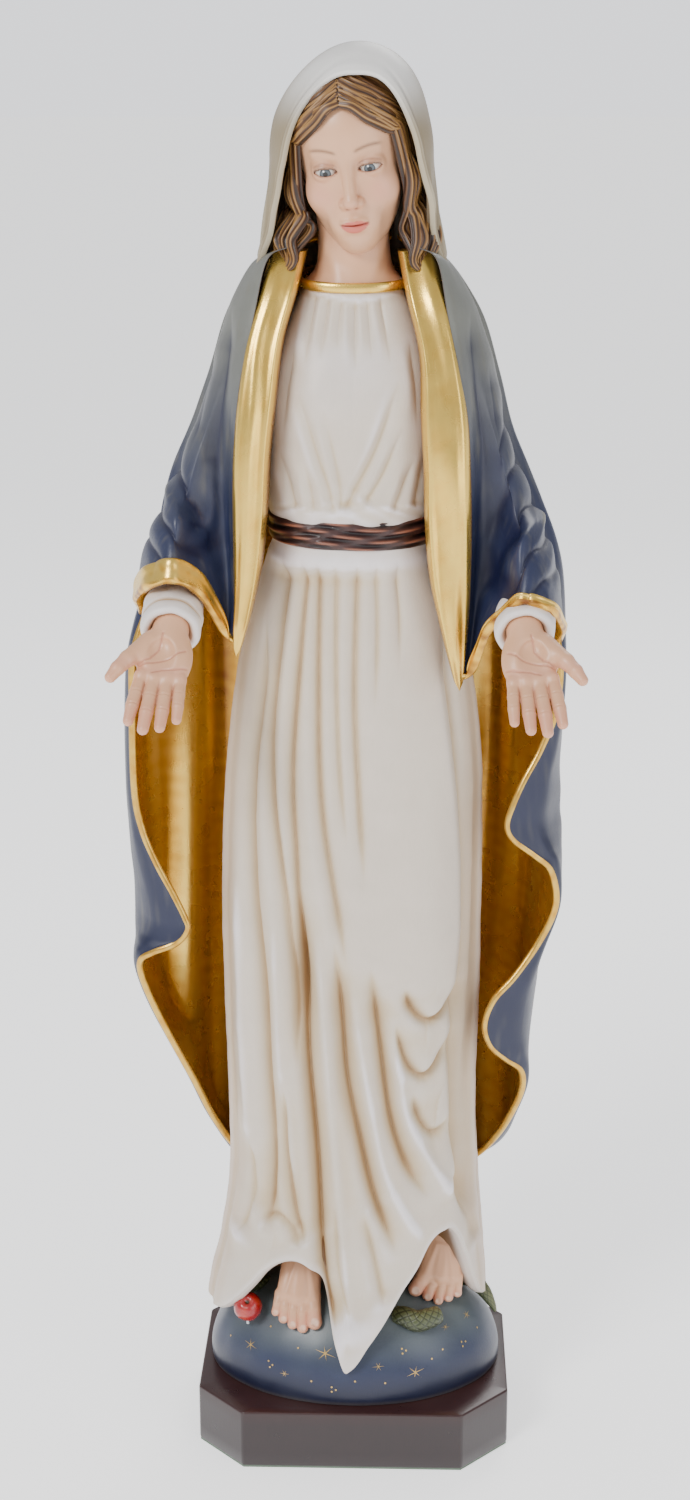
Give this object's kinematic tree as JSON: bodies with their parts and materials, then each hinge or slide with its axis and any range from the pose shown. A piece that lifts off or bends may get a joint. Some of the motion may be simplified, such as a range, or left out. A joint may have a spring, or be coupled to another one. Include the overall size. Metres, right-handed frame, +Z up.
{
  "type": "devotional statue",
  "caption": "Carved and painted wooden madonna with open hands, standing on a star globe with a snake and an apple, on a low octagonal plinth.",
  "frame": {"origin": "middle of the felt's underside, where the statue stands on its shelf", "axes": "+Z up through the figure, the figure faces -Y, +X towards the figure's left hand"},
  "size_m": [0.314, 0.2345, 1],
  "materials": {
    "stained_wood": "dark stained and varnished, glossy",
    "green_felt": "thin felt",
    "globe_paint": "grey-green to navy paint, satin, gold stars",
    "cream_paint": "ivory paint with ochre glaze in the folds, satin",
    "blue_paint": "navy paint with dry-brushed ridges, satin",
    "gold_leaf": "leaf gilding with a brown glaze",
    "belt_paint": "dark brown paint with copper highlights",
    "skin_paint": "flesh-coloured paint, satin",
    "hair_paint": "brown paint with ochre highlights",
    "veil_paint": "off-white paint with a beige edge",
    "snake_paint": "olive paint with dark scale lines",
    "apple_paint": "red paint, glossy",
    "bare_wood": "unfinished beech",
    "zinc_steel": "zinc plated"
  },
  "bodies": {
    "root": {"base_felt": "green_felt", "plinth": "stained_wood", "base_screw_1": "zinc_steel", "base_screw_2": "zinc_steel", "base_washer_1": "zinc_steel", "base_washer_2": "zinc_steel", "globe": "globe_paint", "trunk_dowel_1": "bare_wood", "trunk_dowel_2": "bare_wood", "gown": "cream_paint", "belt": "belt_paint", "neckline_trim": "gold_leaf", "right_lapel": "gold_leaf", "left_lapel": "gold_leaf", "right_mantle_arm": "blue_paint", "left_mantle_arm": "blue_paint", "mantle_back": "blue_paint", "right_cuff": "cream_paint", "left_cuff": "cream_paint", "right_hand": "skin_paint", "left_hand": "skin_paint", "right_wrist_dowel": "bare_wood", "left_wrist_dowel": "bare_wood", "right_forearm_dowel": "bare_wood", "left_forearm_dowel": "bare_wood", "head": "skin_paint", "neck_dowel": "bare_wood", "hair_crown": "hair_paint", "right_hair_fall": "hair_paint", "left_hair_fall": "hair_paint", "veil": "veil_paint", "right_foot": "skin_paint", "left_foot": "skin_paint", "snake_head": "snake_paint", "snake_body": "snake_paint", "snake_tail": "snake_paint", "apple": "apple_paint", "apple_pin": "zinc_steel"}
  },
  "joints": []
}
